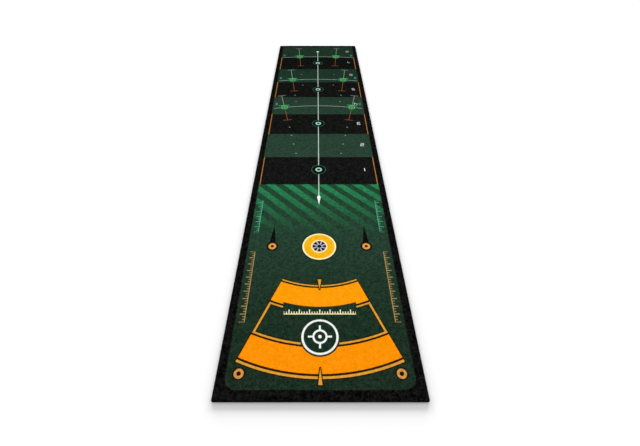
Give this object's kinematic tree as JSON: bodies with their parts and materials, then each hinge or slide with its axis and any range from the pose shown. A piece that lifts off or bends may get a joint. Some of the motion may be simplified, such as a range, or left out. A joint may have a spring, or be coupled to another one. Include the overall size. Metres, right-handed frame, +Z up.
{
  "type": "practice putting mat",
  "caption": "Long flat practice putting mat: short printed pile on ground cloth, bonding film and a heavy rubber base, lying on the floor.",
  "frame": {"origin": "middle of the underside, on the floor", "axes": "+Z up out of the pile, +Y along the mat from the end with the round target to the far end with the highest number, +X across the mat"},
  "size_m": [0.5, 2.19, 0.006],
  "materials": {
    "pile": "short dense printed pile, matt",
    "ground_cloth": "close plain weave, matt",
    "adhesive_film": "melted film, dull",
    "rubber": "moulded, matt black"
  },
  "bodies": {
    "root": {"pile_face": "pile", "backing_cloth": "ground_cloth", "bonding_film": "adhesive_film", "rubber_base": "rubber"}
  },
  "joints": []
}
